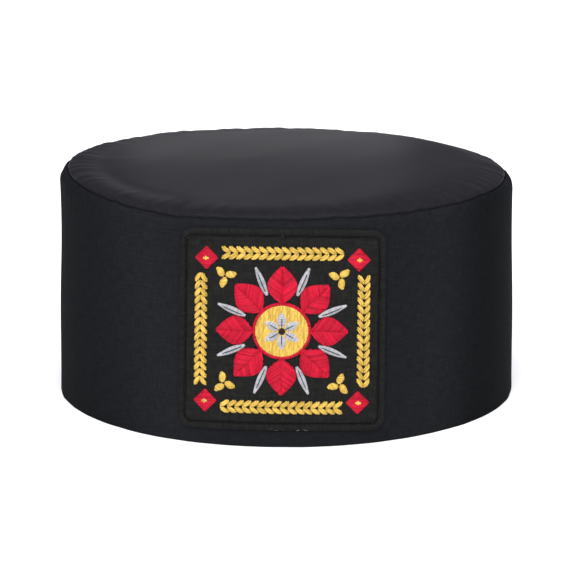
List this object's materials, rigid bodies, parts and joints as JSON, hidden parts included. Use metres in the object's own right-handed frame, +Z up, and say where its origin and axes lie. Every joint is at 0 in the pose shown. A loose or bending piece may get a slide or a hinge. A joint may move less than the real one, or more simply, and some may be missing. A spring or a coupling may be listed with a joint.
{
  "type": "crown cap",
  "caption": "Soft black pillbox crown cap: an upright oval side band under a flat crown panel, with a square embroidered patch sewn to the forehead. It rests on its hem.",
  "frame": {"origin": "middle of the hem, on the surface that the cap rests on", "axes": "+Z up to the crown, -Y out through the forehead and its patch, +X to the wearer's left ear"},
  "size_m": [0.19, 0.2021, 0.0961],
  "materials": {
    "black_satin": "smooth black satin cloth with a soft sheen",
    "black_twill": "matt black twill",
    "black_thread": "black overlock thread",
    "gold_thread": "golden yellow rayon embroidery thread",
    "red_thread": "red rayon embroidery thread",
    "white_thread": "pale grey rayon embroidery thread"
  },
  "bodies": {
    "root": {"side_band": "black_satin", "crown_panel": "black_satin", "patch_ground": "black_twill", "patch_border": "black_thread", "frame_bar_1": "gold_thread", "frame_bar_2": "gold_thread", "frame_bar_3": "gold_thread", "frame_bar_4": "gold_thread", "corner_diamond_1": "red_thread", "corner_diamond_2": "red_thread", "corner_diamond_3": "red_thread", "corner_diamond_4": "red_thread", "petal_1": "red_thread", "petal_2": "red_thread", "petal_3": "red_thread", "petal_4": "red_thread", "petal_5": "red_thread", "petal_6": "red_thread", "petal_7": "red_thread", "petal_8": "red_thread", "leaf_1": "white_thread", "leaf_2": "white_thread", "leaf_3": "white_thread", "leaf_4": "white_thread", "leaf_5": "white_thread", "leaf_6": "white_thread", "leaf_7": "white_thread", "leaf_8": "white_thread", "rosette_eye": "gold_thread", "corner_sprig_1": "gold_thread", "corner_sprig_2": "gold_thread", "corner_sprig_3": "gold_thread", "corner_sprig_4": "gold_thread"}
  },
  "joints": []
}
